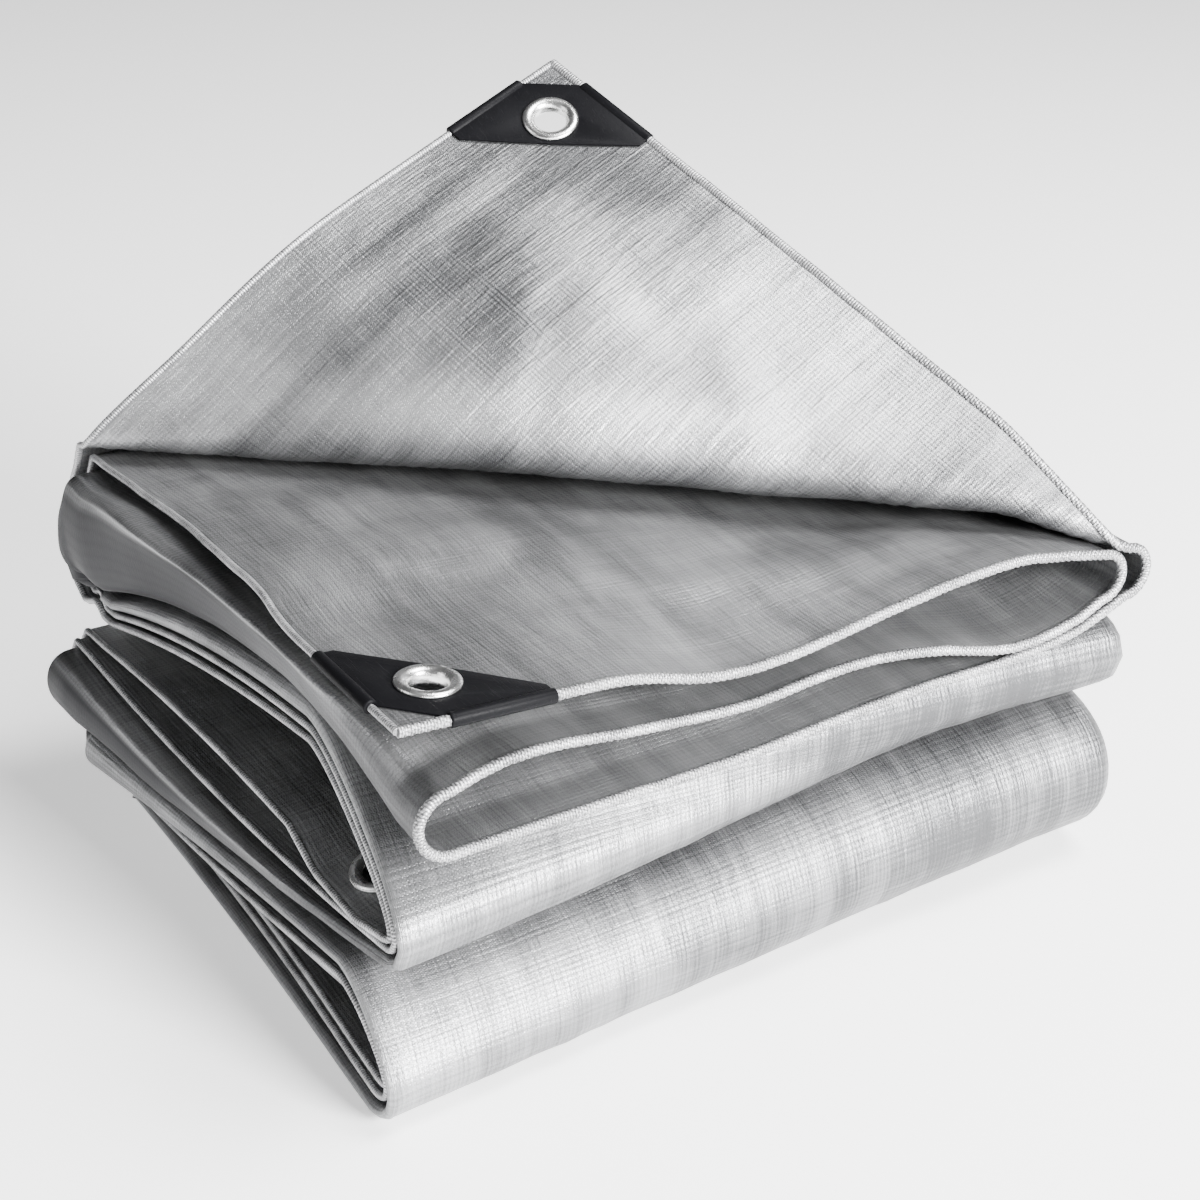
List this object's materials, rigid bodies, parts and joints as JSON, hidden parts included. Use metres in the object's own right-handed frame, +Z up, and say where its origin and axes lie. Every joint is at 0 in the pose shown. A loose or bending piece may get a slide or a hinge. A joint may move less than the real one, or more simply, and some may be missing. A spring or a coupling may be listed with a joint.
{
  "type": "folded tarp",
  "caption": "Silver reinforced sheet folded into a thick square pile, with one patched corner turned back over the diagonal to show its eyelet.",
  "frame": {"origin": "under the middle of the folded pile, on the surface it lies on", "axes": "+X to the right along the front folds, +Y to the back, +Z up from the surface"},
  "size_m": [0.3741, 0.3105, 0.3039],
  "materials": {
    "silver_cloth": "woven sheet with a silver metallised face, slightly glossy",
    "black_plastic": "moulded, soft gloss",
    "aluminium": "bright, rolled rim"
  },
  "bodies": {
    "root": {"turned_corner": "silver_cloth", "top_layer": "silver_cloth", "corner_layer": "silver_cloth", "inner_layer": "silver_cloth", "lower_layer": "silver_cloth", "upper_back_turn": "silver_cloth", "second_level": "silver_cloth", "upper_front_turn": "silver_cloth", "eyelet_layer": "silver_cloth", "third_level": "silver_cloth", "lower_back_turn": "silver_cloth", "fourth_level": "silver_cloth", "lower_front_turn": "silver_cloth", "bottom_level": "silver_cloth", "corner_cloth_near": "silver_cloth", "corner_cloth_raised": "silver_cloth", "hem_strip": "silver_cloth", "corner_patch_near": "black_plastic", "corner_patch_raised": "black_plastic", "eyelet_near": "aluminium", "eyelet_raised": "aluminium", "eyelet_hem": "aluminium"}
  },
  "joints": []
}
